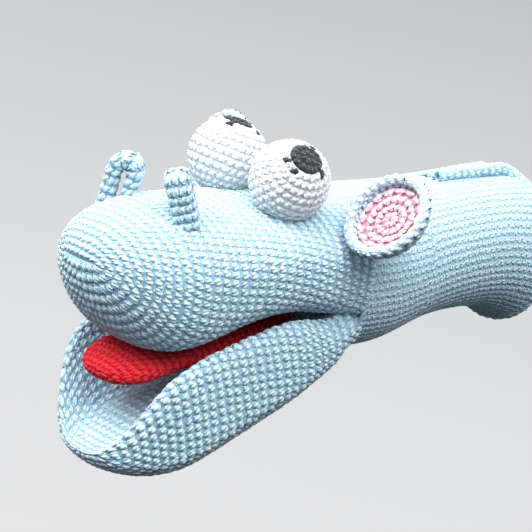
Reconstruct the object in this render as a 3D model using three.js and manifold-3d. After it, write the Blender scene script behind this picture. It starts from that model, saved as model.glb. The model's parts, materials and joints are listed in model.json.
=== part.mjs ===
// A crocheted hippo hand puppet: two jaw tubes, a wrist, a slit sleeve, a padded tongue,
// and sewn-on eyes, ears and nostrils. Millimetres, +Z up, snout towards -Y.
// The origin is the centre of the sleeve's opening, where the hand goes in.
import * as THREE from "three";
import { mergeVertices } from "three/addons/utils/BufferGeometryUtils.js";
import Module from "manifold-3d";

const wasm = await Module();
wasm.setup();

// ---- driving dimensions ----

const FABRIC = 4; // thickness of the crocheted fabric
const GAP = 0.4; // clearance between pieces that are sewn face to face
const SIDES = 36; // points round each section of a tube
const STEP = 7; // length of fabric between two sections

const SLEEVE_LENGTH = 54;
const WRIST_LENGTH = 38; // soft fabric between sleeve and cheeks
const BAND_LENGTH = 8; // stiffer round in the middle of the wrist
const CHEEK_LENGTH = 20; // full-height tube behind the mouth corners
const UPPER_JAW_LENGTH = 128; // mouth corner to snout tip
const NOSE_ROUND = 50; // the rounded toe of the snout
const LOWER_JAW_LENGTH = 124;
const CHIN_ROUND = 38;
const CHIN_Z = -50; // height of the chin's tip with the mouth shut
const THUMB_LENGTH = 82; // depth of the pocket for the thumb from the mouth corner
const THROAT_LENGTH = 8; // fabric that folds behind the lower jaw

const JAW_OPEN_DEG = 15; // how far the lower jaw hangs open at rest
const MOUTH_CORNER_Z = -22;

const RIM = { wide: 37, top: 36, bottom: -35.5 };
const WRIST = { wide: 38, top: 31, bottom: -22 };
const CHEEK = { wide: 44, top: 30, bottom: -40 };
const BROW = { wide: 46, top: 28, bottom: -17 };
const SNOUT = { wide: 44, top: 28.5, bottom: -29 };
const LIP_Z = -37.5; // the upper lip bulges down to here
const SNOUT_TIP_Z = 2;

const SLIT_LENGTH = 50; // slit along the top of the sleeve
const SLIT_FRONT = 3; // its width at the closed end
const SLIT_REAR = 12; // its width at the rim
const EDGING = 2.6; // radius of the slip-stitch edging

const EYE_RADIUS = 17.8;
const EYE_SPACING = 43.5;
const EYE_Z = 40;
const PUPIL_HALF_ANGLE = 29;
const EYE_FROM_CORNER = 35.5; // eye centre ahead of the mouth corner
const GAZE = { left: [0.64, -0.05, 0.77], right: [0.03, 0.24, 0.97] }; // where each pupil points

const EAR_RADIUS = 21;
const EAR_DEPTH = 9;
const EAR_FLOP_DEG = 12; // how far an ear swings each way on its seam
const EAR_TUCK = 11; // how far an ear's rim reaches in over the cheek
const EAR_SEAM_INSIDE = 8; // how far its seam lies inside the cheek's width
const EAR_X = CHEEK.wide + EAR_RADIUS - EAR_TUCK;
// Each ear's centre and the way its cup faces. The left one has flopped back.
const EARS = {
  left: { x: EAR_X, fromCorner: 4, z: 34, facing: [0.09, -0.79, 0.6] },
  right: { x: -EAR_X, fromCorner: 11, z: 30, facing: [-0.06, -0.96, 0.26] },
};
// The middle of the seam that holds an ear.
const EAR_SEAM = { x: CHEEK.wide - EAR_SEAM_INSIDE, fromCorner: 10, z: 24 };
const EAR_EDGING = 1.9;
const LINING_INSET = 6.5; // how far the lining stops short of the ear's rim
const LINING_RADIUS = EAR_RADIUS - LINING_INSET;
const LINING_THICK = 2.6;

// Each nostril's place, and how far its loop leans in over the snout.
const NOSTRILS = {
  left: { x: 18, fromTip: 41, lean: 20 },
  right: { x: -23.5, fromTip: 36, lean: 3 },
};
const NOSTRIL_TURN_DEG = 41;
const NOSTRIL_HEIGHT = 22;
const NOSTRIL_WIDTH = 18;
const NOSTRIL_BAND = 12; // width of the crocheted strip
const NOSTRIL_STRAND = 6.5; // its thickness

const TONGUE_WIDE = 22; // half width
const TONGUE_LENGTH = 92;
const TONGUE_FROM_CORNER = 18; // its sewn root ahead of the mouth corner
const TONGUE_TIP_ROUND = 22;
const TONGUE_ROOT = { thick: 3.6, z: -24 };
const TONGUE_TIP = { thick: 7, z: -43.5 };
const TONGUE_FABRIC = 2.4;

// ---- places along the body, worked out from the lengths ----

const WRIST_REAR = -SLEEVE_LENGTH;
const WRIST_FRONT = WRIST_REAR - WRIST_LENGTH;
const MOUTH_CORNER = WRIST_FRONT - CHEEK_LENGTH;
const SNOUT_TIP = MOUTH_CORNER - UPPER_JAW_LENGTH;
const NOSE_START = SNOUT_TIP + NOSE_ROUND;
const BAND_MIDDLE = (WRIST_REAR + WRIST_FRONT) / 2;
const JAW_REAR = MOUTH_CORNER - THROAT_LENGTH;
const JAW_TIP = MOUTH_CORNER - LOWER_JAW_LENGTH;
const JAW_OPEN = THREE.MathUtils.degToRad(JAW_OPEN_DEG);
const EYE_Y = MOUTH_CORNER - EYE_FROM_CORNER;

// Outer half width, top and bottom of the upper tube at places along Y.
// boxy squares the lower half of the section, which gives the snout its lips.
const BODY = [
  { y: SNOUT_TIP, ...SNOUT, bottom: LIP_Z, boxy: 0.1 },
  { y: NOSE_START - 0.36 * NOSE_ROUND, ...SNOUT, bottom: LIP_Z, boxy: 0.22 },
  { y: NOSE_START, ...SNOUT, boxy: 0.28 },
  { y: NOSE_START + 0.28 * (MOUTH_CORNER - NOSE_START), ...BROW, bottom: BROW.bottom - 4, boxy: 0.3 },
  { y: NOSE_START + 0.5 * (MOUTH_CORNER - NOSE_START), ...BROW, boxy: 0.3 },
  { y: MOUTH_CORNER, ...CHEEK, bottom: MOUTH_CORNER_Z + 1, boxy: 0.2 },
];
const NECK = [
  { y: MOUTH_CORNER, ...CHEEK },
  { y: WRIST_FRONT, ...CHEEK, wide: CHEEK.wide - 2, bottom: CHEEK.bottom + 3 },
  { y: WRIST_REAR, ...WRIST },
  { y: 0.4 * WRIST_REAR, wide: RIM.wide, top: RIM.top - 1, bottom: 0.6 * WRIST.bottom + 0.4 * RIM.bottom },
  { y: 0, ...RIM },
];

// Lower jaw with the mouth shut: edge is the height of its widest line, ridge the top of its
// side walls and floor the bottom of the hollow between them.
const JAW = [
  { y: JAW_TIP, wide: 42, edge: -52, ridge: -38, floor: -49, bottom: -69 },
  { y: JAW_TIP + 0.45 * CHIN_ROUND, wide: 42, edge: -49, ridge: -25, floor: -42, bottom: -68 },
  { y: JAW_TIP + CHIN_ROUND, wide: 43, edge: -44, ridge: -18, floor: -38, bottom: -66 },
  { y: MOUTH_CORNER - 60, wide: 44, edge: -38, ridge: -13, floor: -37, bottom: -60 },
  { y: MOUTH_CORNER - 34, wide: 44, edge: -34, ridge: -13, floor: -35, bottom: -55 },
  { y: JAW_REAR, wide: 42, edge: -34, ridge: -24, floor: -27, bottom: -45 },
];

// ---- shape helpers ----

// A smooth curve through the stations' values of one key, as a cubic between each two.
function along(stations, key, y) {
  const last = stations.length - 1;
  const slope = (i) => {
    const a = stations[Math.max(i - 1, 0)];
    const b = stations[Math.min(i + 1, last)];
    return (b[key] - a[key]) / (b.y - a.y);
  };
  let i = 0;
  while (i < last - 1 && y > stations[i + 1].y) i += 1;
  const a = stations[i];
  const b = stations[i + 1];
  const span = b.y - a.y;
  const t = THREE.MathUtils.clamp((y - a.y) / span, 0, 1);
  const t2 = t * t;
  const t3 = t2 * t;
  return (
    a[key] * (2 * t3 - 3 * t2 + 1) +
    slope(i) * span * (t3 - 2 * t2 + t) +
    b[key] * (3 * t2 - 2 * t3) +
    slope(i + 1) * span * (t3 - t2)
  );
}

// A number raised to a power with its sign kept: below 1 it makes an ellipse boxier.
const power = (value, exponent) => Math.sign(value) * Math.abs(value) ** exponent;

// An oval section of the upper tube at y, inset by a distance.
function bodySection(stations, y, inset) {
  const top = along(stations, "top", y) - inset;
  const bottom = along(stations, "bottom", y) + inset;
  const wide = along(stations, "wide", y) - inset;
  const middle = (top + bottom) / 2;
  const half = (top - bottom) / 2;
  const boxy = along(stations, "boxy", y) || 0;
  return (c, s) => {
    const square = s < 0 ? 0.92 - boxy : 0.92;
    return [wide * power(c, square), y, middle + half * power(s, square)];
  };
}

// The outside of the lower jaw: half an oval below, and above it walls round a scooped hollow.
function jawSection(y) {
  const wide = along(JAW, "wide", y);
  const edge = along(JAW, "edge", y);
  const ridge = along(JAW, "ridge", y);
  const floor = along(JAW, "floor", y);
  const depth = edge - along(JAW, "bottom", y);
  const half = [
    [wide, edge],
    [wide * 0.97, ridge - 6],
    [wide * 0.84, ridge],
    [wide * 0.66, ridge * 0.6 + floor * 0.4],
    [wide * 0.38, floor + 1],
    [0, floor],
  ];
  const walls = new THREE.SplineCurve(half.map(([x, z]) => new THREE.Vector2(x, z)));
  return (c, s) => {
    if (s < 0) return [wide * power(c, 0.92), y, edge + depth * power(s, 0.92)];
    const point = walls.getPoint(1 - Math.acos(Math.min(s, 1)) / (Math.PI / 2));
    return [Math.sign(c) * point.x, y, point.y];
  };
}

// The pocket for the thumb: an oval between the floor and the bottom of the lower jaw.
function thumbSection(y) {
  const top = along(JAW, "floor", y) - 0.75 * FABRIC;
  const bottom = along(JAW, "bottom", y) + 0.75 * FABRIC;
  const wide = along(JAW, "wide", y) - FABRIC - 3;
  return (c, s) => [wide * c, y, (top + bottom) / 2 + ((top - bottom) / 2) * s];
}

// Draws a section in towards a point at height z as the toe of a tube closes.
const shrunk = (section, share, y, z) => (c, s) => {
  const [px, , pz] = section(c, s);
  return [px * share, y, z + (pz - z) * share];
};

// Sections from a tube's open end at rear to the start of its toe, then round the toe.
function toeSections(section, rear, toeStart, tip, tipZ, inset) {
  const count = Math.max(2, Math.round((rear - toeStart) / STEP));
  const straight = Array.from({ length: count + 1 }, (_, i) =>
    section(rear + ((toeStart - rear) * i) / count, inset),
  );
  const turns = 6;
  const length = toeStart - tip - inset;
  const round = Array.from({ length: turns - 1 }, (_, i) => {
    const angle = ((i + 1) / turns) * (Math.PI / 2);
    const y = toeStart - length * Math.sin(angle);
    return shrunk(section(y, inset), Math.cos(angle), y, tipZ);
  });
  return { rings: [...straight, ...round], tip: [0, tip + inset, tipZ] };
}

// A straight run of sections between two places.
function tubeSections(section, from, to, inset) {
  const count = Math.max(1, Math.round(Math.abs(to - from) / STEP));
  return Array.from({ length: count + 1 }, (_, i) => section(from + ((to - from) * i) / count, inset));
}

const ringPoints = (section) =>
  Array.from({ length: SIDES }, (_, k) => {
    const angle = (2 * Math.PI * k) / SIDES;
    return section(Math.cos(angle), Math.sin(angle));
  });

// Joins rings of points into one closed surface. A point instead of a ring closes a toe;
// looped joins the last ring back to the first.
function skin(rings, looped) {
  const points = [];
  const starts = rings.map((ring) => {
    points.push(...(Array.isArray(ring[0]) ? ring : [ring]));
    return points.length - (Array.isArray(ring[0]) ? ring.length : 1);
  });
  const faces = [];
  const isPoint = (i) => !Array.isArray(rings[i][0]);
  const last = rings.length - (looped ? 0 : 1);
  for (let i = 0; i < last; i += 1) {
    const j = (i + 1) % rings.length;
    for (let k = 0; k < SIDES; k += 1) {
      const next = (k + 1) % SIDES;
      const a = starts[i] + (isPoint(i) ? 0 : k);
      const b = starts[i] + (isPoint(i) ? 0 : next);
      const c = starts[j] + (isPoint(j) ? 0 : next);
      const d = starts[j] + (isPoint(j) ? 0 : k);
      if (!isPoint(i)) faces.push(a, b, c);
      if (!isPoint(j)) faces.push(a, c, d);
    }
  }
  const geometry = new THREE.BufferGeometry();
  geometry.setAttribute("position", new THREE.Float32BufferAttribute(points.flat(), 3));
  geometry.setIndex(faces);
  return geometry;
}

// A closed-toe tube with a hollow that opens at its rear end.
function pouch(section, outer, inner) {
  const out = toeSections(section, ...outer, 0);
  const hollow = toeSections(section, ...inner, FABRIC);
  const inward = hollow.rings.reverse().map(ringPoints);
  return skin([...out.rings.map(ringPoints), out.tip, hollow.tip, ...inward], true);
}

// A tube open at both ends, between two places along Y.
function openTube(stations, from, to) {
  const section = (y, inset) => bodySection(stations, y, inset);
  const outer = tubeSections(section, Math.max(from, to), Math.min(from, to), 0);
  const inner = tubeSections(section, Math.min(from, to), Math.max(from, to), FABRIC);
  return skin([...outer, ...inner].map(ringPoints), true);
}

// ---- joining and cutting ----

function solid(geometry) {
  const bare = geometry.index ? geometry.clone() : geometry;
  bare.deleteAttribute("normal");
  bare.deleteAttribute("uv");
  const merged = mergeVertices(bare, 1e-3);
  return new wasm.Manifold(
    new wasm.Mesh({
      numProp: 3,
      vertProperties: merged.attributes.position.array,
      triVerts: new Uint32Array(merged.index.array),
    }),
  );
}

function geometryOf(manifold) {
  const mesh = manifold.getMesh();
  const geometry = new THREE.BufferGeometry();
  geometry.setAttribute("position", new THREE.BufferAttribute(mesh.vertProperties, 3));
  geometry.setIndex(new THREE.BufferAttribute(mesh.triVerts, 1));
  return geometry;
}

// The largest piece left of a geometry after the tools are taken out of it.
function cut(geometry, ...tools) {
  const left = tools.reduce((kept, tool) => kept.subtract(solid(tool)), solid(geometry));
  const pieces = left.decompose().sort((a, b) => b.volume() - a.volume());
  return geometryOf(pieces[0]);
}

// The outside of the head with no hollow, grown by the clearance, for trimming what sits on it.
function headForm() {
  const section = (y) => bodySection(BODY, y, -GAP);
  const form = toeSections(section, MOUTH_CORNER, NOSE_START, SNOUT_TIP - GAP, SNOUT_TIP_Z, 0);
  const neck = tubeSections((y) => bodySection(NECK, y, -GAP), WRIST_REAR, MOUTH_CORNER, 0);
  const rear = [0, WRIST_REAR, 0];
  return skin([rear, ...[...neck, ...form.rings].map(ringPoints), form.tip], false);
}

// ---- materials ----

const yarn = (color) => new THREE.MeshStandardMaterial({ color, roughness: 0.95, metalness: 0 });
const BLUE = yarn(0xb9dcec);
const WHITE = yarn(0xf4f4f2);
const BLACK = yarn(0x26262a);
const PINK = yarn(0xf3a9b4);
const RED = yarn(0xd3202a);
const FILLING = yarn(0xf8f6ef);

const puppet = new THREE.Group();

function add(name, geometry, material, parent = puppet) {
  const mesh = new THREE.Mesh(geometry, material);
  mesh.name = name;
  parent.add(mesh);
  return mesh;
}

// ---- sleeve with its slit and edging ----

// The route of the edging: up one side of the slit, round the rim and back.
function edgingRoute() {
  const seat = (y) => along(NECK, "top", y) + 0.2;
  const slitHalf = (y) => THREE.MathUtils.mapLinear(y, -SLIT_LENGTH, 0, SLIT_FRONT, SLIT_REAR) / 2;
  const sideRun = [-SLIT_LENGTH + 2, -0.7 * SLIT_LENGTH, -0.45 * SLIT_LENGTH, -0.24 * SLIT_LENGTH];
  const side = sideRun.map((y) => [slitHalf(y) + EDGING, y, seat(y)]);
  const middle = (RIM.top + RIM.bottom) / 2;
  const half = (RIM.top - RIM.bottom) / 2 - EDGING;
  const turns = 16;
  const start = 62;
  const rim = Array.from({ length: turns + 1 }, (_, i) => {
    const angle = THREE.MathUtils.degToRad(start - ((start + 90) * i) / turns);
    const wide = RIM.wide - EDGING;
    return [wide * Math.cos(angle), -EDGING, middle + half * Math.sin(angle)];
  });
  const corner = [13, -0.1 * SLIT_LENGTH, RIM.top - 1.6];
  const right = [...side, corner, ...rim];
  const left = right.slice(0, -1).reverse().map(([x, y, z]) => [-x, y, z]);
  return new THREE.CatmullRomCurve3([...right, ...left].map((p) => new THREE.Vector3(...p)));
}

function rope(route, radius, steps, sides = 8) {
  const circle = new THREE.Shape();
  for (let k = 0; k < sides; k += 1) {
    const angle = (2 * Math.PI * k) / sides;
    const point = [radius * Math.cos(angle), radius * Math.sin(angle)];
    if (k === 0) circle.moveTo(...point);
    else circle.lineTo(...point);
  }
  circle.closePath();
  return new THREE.ExtrudeGeometry(circle, { steps, bevelEnabled: false, extrudePath: route });
}

// The block of air that the slit takes out of the sleeve's top.
function slitBlock() {
  const outline = new THREE.Shape();
  const front = SLIT_FRONT / 2 + EDGING;
  const rear = SLIT_REAR / 2 + EDGING;
  outline.moveTo(-front, -SLIT_LENGTH);
  outline.lineTo(front, -SLIT_LENGTH);
  outline.lineTo(rear, 1);
  outline.lineTo(-rear, 1);
  outline.closePath();
  const block = new THREE.ExtrudeGeometry(outline, { depth: 60, bevelEnabled: false });
  return block;
}

function addSleeve() {
  const route = edgingRoute();
  const tube = openTube(NECK, WRIST_REAR + GAP / 2, -EDGING);
  add("sleeve_tube", cut(tube, slitBlock(), rope(route, EDGING + GAP, 70)), BLUE);
  add("sleeve_edging", rope(route, EDGING, 70), BLUE);
}

// ---- wrist ----

function addWrist() {
  const bandRear = BAND_MIDDLE + BAND_LENGTH / 2;
  const bandFront = BAND_MIDDLE - BAND_LENGTH / 2;
  add("wrist_fabric_rear", openTube(NECK, WRIST_REAR - GAP / 2, bandRear + GAP / 2), BLUE);
  add("wrist_band", openTube(NECK, bandRear - GAP / 2, bandFront + GAP / 2), BLUE);
  add("wrist_fabric_front", openTube(NECK, bandFront - GAP / 2, WRIST_FRONT + GAP / 2), BLUE);
}

// ---- head ----

function addHead() {
  add("cheek_tube", openTube(NECK, WRIST_FRONT - GAP / 2, MOUTH_CORNER + GAP / 2), BLUE);
  const rear = MOUTH_CORNER - GAP / 2;
  const upper = pouch(
    (y, inset) => bodySection(BODY, y, inset),
    [rear, NOSE_START, SNOUT_TIP, SNOUT_TIP_Z],
    [rear, NOSE_START, SNOUT_TIP, SNOUT_TIP_Z],
  );
  add("upper_jaw_tube", upper, BLUE);
}

// ---- lower jaw, made shut and turned open about the mouth corner ----

const hinge = new THREE.Vector3(0, MOUTH_CORNER, MOUTH_CORNER_Z);

function opened(geometry) {
  return geometry
    .translate(-hinge.x, -hinge.y, -hinge.z)
    .rotateX(JAW_OPEN)
    .translate(hinge.x, hinge.y, hinge.z);
}

function addLowerJaw() {
  const start = JAW_TIP + CHIN_ROUND;
  const end = MOUTH_CORNER - THUMB_LENGTH;
  const out = toeSections(jawSection, JAW_REAR, start, JAW_TIP, CHIN_Z, 0);
  const hollow = toeSections(thumbSection, JAW_REAR, end + 16, end, CHIN_Z, 0);
  const inward = hollow.rings.reverse().map(ringPoints);
  const jaw = skin([...out.rings.map(ringPoints), out.tip, hollow.tip, ...inward], true);
  add("lower_jaw_tube", opened(jaw), BLUE);
}

// The fold of fabric that joins the lower jaw to the cheeks.
function addThroat() {
  const rear = MOUTH_CORNER - GAP / 2;
  const low = { y: 0, ...CHEEK, top: MOUTH_CORNER_Z - 1 };
  const back = bodySection([{ ...low, y: rear - 1 }, { ...low, y: rear }], rear, 0);
  const backInner = bodySection([{ ...low, y: rear - 1 }, { ...low, y: rear }], rear, FABRIC - 1);
  const placed = (section) => {
    const points = ringPoints(section).flat();
    const ring = new THREE.BufferGeometry();
    ring.setAttribute("position", new THREE.Float32BufferAttribute(points, 3));
    const p = opened(ring).attributes.position;
    return Array.from({ length: SIDES }, (_, k) => [p.getX(k), p.getY(k) + 2 * GAP, p.getZ(k)]);
  };
  const front = placed(jawSection(JAW_REAR));
  const frontInner = placed(thumbSection(JAW_REAR));
  add("throat_fabric", skin([ringPoints(back), front, frontInner, ringPoints(backInner)], true), BLUE);
}

// ---- tongue ----

function tongueSection(y, inset) {
  const root = MOUTH_CORNER - TONGUE_FROM_CORNER;
  const t = (root - y) / (TONGUE_LENGTH - TONGUE_TIP_ROUND);
  const ease = THREE.MathUtils.smoothstep(t, -0.2, 0.5);
  const wide = THREE.MathUtils.lerp(0.62, 1, ease) * TONGUE_WIDE - inset;
  const thick = THREE.MathUtils.lerp(TONGUE_ROOT.thick, TONGUE_TIP.thick, t) - inset;
  const z = THREE.MathUtils.lerp(TONGUE_ROOT.z, TONGUE_TIP.z, t);
  return (c, s) => [wide * c, y, z + thick * power(s, 0.9)];
}

function addTongue() {
  const root = MOUTH_CORNER - TONGUE_FROM_CORNER;
  const start = root - TONGUE_LENGTH + TONGUE_TIP_ROUND;
  const tip = root - TONGUE_LENGTH;
  const out = toeSections(tongueSection, root, start, tip, TONGUE_TIP.z, 0);
  const hollow = toeSections(tongueSection, root, start, tip, TONGUE_TIP.z, TONGUE_FABRIC);
  add(
    "tongue_cover",
    skin([...out.rings.map(ringPoints), out.tip, hollow.tip, ...hollow.rings.reverse().map(ringPoints)], true),
    RED,
  );
  const inset = TONGUE_FABRIC + GAP;
  const filling = toeSections(tongueSection, root - 2, start, tip, TONGUE_TIP.z, inset);
  const back = [0, root - 2, TONGUE_ROOT.z];
  add("tongue_filling", skin([back, ...filling.rings.map(ringPoints), filling.tip], false), FILLING);
}

// ---- eyes ----

// A hollow cap round the +Y pole out to an angle, or the rest of the hollow ball below one.
function zone(radius, wall, from, to) {
  const steps = Math.max(3, Math.round((to - from) / 12));
  const arc = (r) =>
    Array.from({ length: steps + 1 }, (_, i) => {
      const angle = THREE.MathUtils.degToRad(from + ((to - from) * i) / steps);
      return new THREE.Vector2(r * Math.sin(angle), r * Math.cos(angle));
    });
  const outside = arc(radius).reverse();
  const inside = arc(radius - wall);
  const profile = from === 0 ? [...inside, ...outside] : [...outside, ...inside];
  return new THREE.LatheGeometry(profile, 24);
}

const UP = new THREE.Vector3(0, 1, 0);

function turnedTo(geometry, direction, centre) {
  const turn = new THREE.Quaternion().setFromUnitVectors(UP, direction.clone().normalize());
  return geometry.applyQuaternion(turn).translate(centre.x, centre.y, centre.z);
}

function addEye(side, sign, form) {
  const centre = new THREE.Vector3((sign * EYE_SPACING) / 2, EYE_Y, EYE_Z);
  const gaze = new THREE.Vector3(...GAZE[side]);
  const gapAngle = THREE.MathUtils.radToDeg(GAP / EYE_RADIUS);
  const white = turnedTo(zone(EYE_RADIUS, FABRIC - 1, PUPIL_HALF_ANGLE + gapAngle, 180), gaze, centre);
  add(`eye_${side}_white`, cut(white, form), WHITE);
  add(`eye_${side}_pupil`, turnedTo(zone(EYE_RADIUS, FABRIC - 1, 0, PUPIL_HALF_ANGLE), gaze, centre), BLACK);
  const ball = new THREE.SphereGeometry(EYE_RADIUS - FABRIC + 1 - GAP, 20, 14);
  add(`eye_${side}_filling`, cut(ball.translate(centre.x, centre.y, centre.z), form), FILLING);
}

// ---- ears ----

function earCup() {
  const rim = EAR_RADIUS;
  const wall = FABRIC - 0.8;
  const bowl = (r, depth) =>
    Array.from({ length: 7 }, (_, i) => {
      const angle = (i / 6) * (Math.PI / 2);
      return new THREE.Vector2(r * Math.sin(angle) ** 0.8, -depth * Math.cos(angle) ** 0.8);
    });
  const outside = bowl(rim, EAR_DEPTH);
  const inside = bowl(rim - wall, EAR_DEPTH - wall).reverse();
  return new THREE.LatheGeometry([...outside, ...inside], 28);
}

// A shallow dish that lies on the floor of the cup.
function earLining() {
  const wall = FABRIC - 0.8;
  const floorAt = (r) => {
    const angle = Math.asin((r / (EAR_RADIUS - wall)) ** 1.25);
    return -(EAR_DEPTH - wall) * Math.cos(angle) ** 0.8 + 1.5 * GAP;
  };
  const radii = [0, 0.25, 0.5, 0.75, 1].map((share) => share * LINING_RADIUS);
  const under = radii.map((r) => new THREE.Vector2(r, floorAt(r)));
  const over = radii.reverse().map((r) => new THREE.Vector2(r, floorAt(r) + LINING_THICK));
  return new THREE.LatheGeometry([...under, ...over], 28);
}

// The head's outside turned about the ear's seam, for clearing the way of a flopping ear.
function formInEarPose(form, side, sign, degrees) {
  const ear = EARS[side];
  const seam = new THREE.Vector3(sign * EAR_SEAM.x, MOUTH_CORNER - EAR_SEAM.fromCorner, EAR_SEAM.z);
  const centre = new THREE.Vector3(ear.x, MOUTH_CORNER - ear.fromCorner, ear.z);
  const facing = new THREE.Vector3(...ear.facing).normalize();
  const axis = facing.cross(centre.sub(seam)).normalize();
  const turn = new THREE.Quaternion().setFromAxisAngle(axis, THREE.MathUtils.degToRad(degrees));
  return form.clone().translate(-seam.x, -seam.y, -seam.z).applyQuaternion(turn).translate(...seam);
}

function addEar(side, sign, form) {
  const ear = EARS[side];
  const centre = new THREE.Vector3(ear.x, MOUTH_CORNER - ear.fromCorner, ear.z);
  const facing = new THREE.Vector3(...ear.facing);
  const way = [0, EAR_FLOP_DEG, -EAR_FLOP_DEG].map((turn) => formInEarPose(form, side, sign, turn));
  add(`ear_${side}_cup`, cut(turnedTo(earCup(), facing, centre), ...way), BLUE);
  add(`ear_${side}_lining`, cut(turnedTo(earLining(), facing, centre), ...way), PINK);
  const ring = new THREE.TorusGeometry(EAR_RADIUS - EAR_EDGING, EAR_EDGING, 8, 28).rotateX(Math.PI / 2);
  ring.translate(0, EAR_EDGING + GAP, 0);
  add(`ear_${side}_edging`, cut(turnedTo(ring, facing, centre), ...way), BLUE);
}

// ---- nostrils ----

// A crocheted strip bent into a narrow arch, with a slot under it.
function nostrilArch() {
  const outer = NOSTRIL_WIDTH / 2;
  const inner = outer - NOSTRIL_STRAND;
  const straight = NOSTRIL_HEIGHT - outer;
  const sunk = 8;
  const arch = new THREE.Shape();
  arch.moveTo(-outer, -sunk);
  arch.lineTo(-outer, straight);
  arch.absarc(0, straight, outer, Math.PI, 0, true);
  arch.lineTo(outer, -sunk);
  arch.lineTo(inner, -sunk);
  arch.lineTo(inner, straight);
  arch.absarc(0, straight, inner, 0, Math.PI, false);
  arch.lineTo(-inner, -sunk);
  arch.closePath();
  return new THREE.ExtrudeGeometry(arch, { depth: NOSTRIL_BAND, bevelEnabled: false, curveSegments: 10 }).translate(
    0,
    0,
    -NOSTRIL_BAND / 2,
  );
}

function addNostril(side, sign, form) {
  const place = NOSTRILS[side];
  const y = SNOUT_TIP + place.fromTip;
  const share = Math.sqrt(1 - Math.max(0, (NOSE_START - y) / NOSE_ROUND) ** 2);
  const height = Math.sqrt(1 - (place.x / (share * SNOUT.wide)) ** 2);
  const [, , z] = shrunk(bodySection(BODY, y, 0), share, y, SNOUT_TIP_Z)(0, height);
  const arch = nostrilArch()
    .rotateX(Math.PI / 2 + THREE.MathUtils.degToRad(place.lean))
    .rotateZ(-sign * THREE.MathUtils.degToRad(NOSTRIL_TURN_DEG))
    .translate(place.x, y, z);
  add(`nostril_${side}`, cut(arch, form), BLUE);
}

addSleeve();
addWrist();
addHead();
addLowerJaw();
addThroat();
addTongue();
for (const [side, sign] of [["left", 1], ["right", -1]]) {
  addEye(side, sign, headForm());
  addEar(side, sign, headForm());
  addNostril(side, sign, headForm());
}

export default puppet;
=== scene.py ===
# %% [markdown]
# # A crocheted hippo hand puppet
#
# The puppet is one long crocheted tube with two closed toes, the upper and the lower jaw,
# and small crocheted pieces sewn on: eyes, ears, nostrils and a tongue. Crochet could be
# faked with a bump texture, but its outline would be smooth and its gaps would stay
# shallow. Here every stitch is real geometry instead: two plump loops of yarn, placed side
# by side in rounds over a plain cloth that closes the gaps. The cloth is darker with
# painted shade, standing for the shade down in the gaps.

# %% Load the fixed frame
import json
import math

import bpy
import numpy as np
from mathutils import Matrix, Vector


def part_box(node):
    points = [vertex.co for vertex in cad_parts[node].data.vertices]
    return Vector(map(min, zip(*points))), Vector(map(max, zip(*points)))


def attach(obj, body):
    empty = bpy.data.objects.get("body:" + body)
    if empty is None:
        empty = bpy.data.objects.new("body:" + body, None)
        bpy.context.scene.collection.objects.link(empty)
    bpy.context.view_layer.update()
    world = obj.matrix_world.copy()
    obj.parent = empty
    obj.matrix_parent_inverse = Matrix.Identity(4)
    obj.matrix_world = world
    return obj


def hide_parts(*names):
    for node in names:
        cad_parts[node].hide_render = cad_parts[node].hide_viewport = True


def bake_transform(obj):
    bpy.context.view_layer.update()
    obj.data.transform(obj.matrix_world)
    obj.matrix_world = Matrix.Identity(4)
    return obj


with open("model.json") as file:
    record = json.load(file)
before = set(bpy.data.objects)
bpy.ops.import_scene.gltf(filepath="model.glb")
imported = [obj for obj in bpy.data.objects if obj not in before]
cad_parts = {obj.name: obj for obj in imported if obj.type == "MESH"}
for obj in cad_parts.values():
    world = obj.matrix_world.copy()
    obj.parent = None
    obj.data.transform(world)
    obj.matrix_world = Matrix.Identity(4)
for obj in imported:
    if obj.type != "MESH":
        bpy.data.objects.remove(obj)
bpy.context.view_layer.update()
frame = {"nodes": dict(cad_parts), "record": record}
mm = 0.001


def box(node):
    """Lowest and highest corner of a node, in millimetres."""
    low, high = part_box(node)
    return np.array(low) / mm, np.array(high) / mm


# %% [markdown]
# ## Landmarks
#
# The tube's lengths meet at fixed places along Y. Typing them in would let the looks drift
# from the parts, so they are read from the parts' own boxes.

# %% Landmarks along the body
RIM_Y = box("sleeve_edging")[1][1]
SLEEVE_FRONT = box("sleeve_tube")[0][1]
BAND = box("wrist_band")[1][1], box("wrist_band")[0][1]
CHEEK_REAR = box("cheek_tube")[1][1]
CORNER_Y = (box("cheek_tube")[0][1] + box("upper_jaw_tube")[1][1]) / 2
SNOUT_Y = box("upper_jaw_tube")[0][1]
joints = {joint["name"]: joint for joint in frame["record"]["behaviour"]["joints"]}
HINGE = np.array(joints["jaw_hinge"]["pos_m"]) / mm
print("mouth corner at y", round(CORNER_Y, 1), "snout tip at y", round(SNOUT_Y, 1))

# %% [markdown]
# ## Helpers for smooth shapes
#
# A body like this is easiest to give by a few stations: its half width, top and bottom at
# some places along Y. Between the stations each value follows a cubic curve that keeps its
# slope, so the sides have no kinks.


# %% Curves through stations
def through(places, values, at):
    """Cubic through the values: between two places it is a Hermite blend whose end slopes
    are those of the chord over the neighbours on each side."""
    places, values = np.asarray(places, float), np.asarray(values, float)
    order = np.argsort(places)
    places, values = places[order], values[order]
    slopes = np.gradient(values, places, axis=0)
    i = np.clip(np.searchsorted(places, at) - 1, 0, len(places) - 2)
    span = places[i + 1] - places[i]
    t = np.clip((at - places[i]) / span, 0, 1)
    if values.ndim > 1:
        t, span = t[:, None], span[:, None]
    a, b = values[i], values[i + 1]
    curve = a * (2 * t**3 - 3 * t**2 + 1) + slopes[i] * span * (t**3 - 2 * t**2 + t)
    return curve + b * (3 * t**2 - 2 * t**3) + slopes[i + 1] * span * (t**3 - t**2)


def power(value, exponent):
    """The value's size raised to the exponent, with its sign kept."""
    return np.sign(value) * np.abs(value) ** exponent


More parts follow.
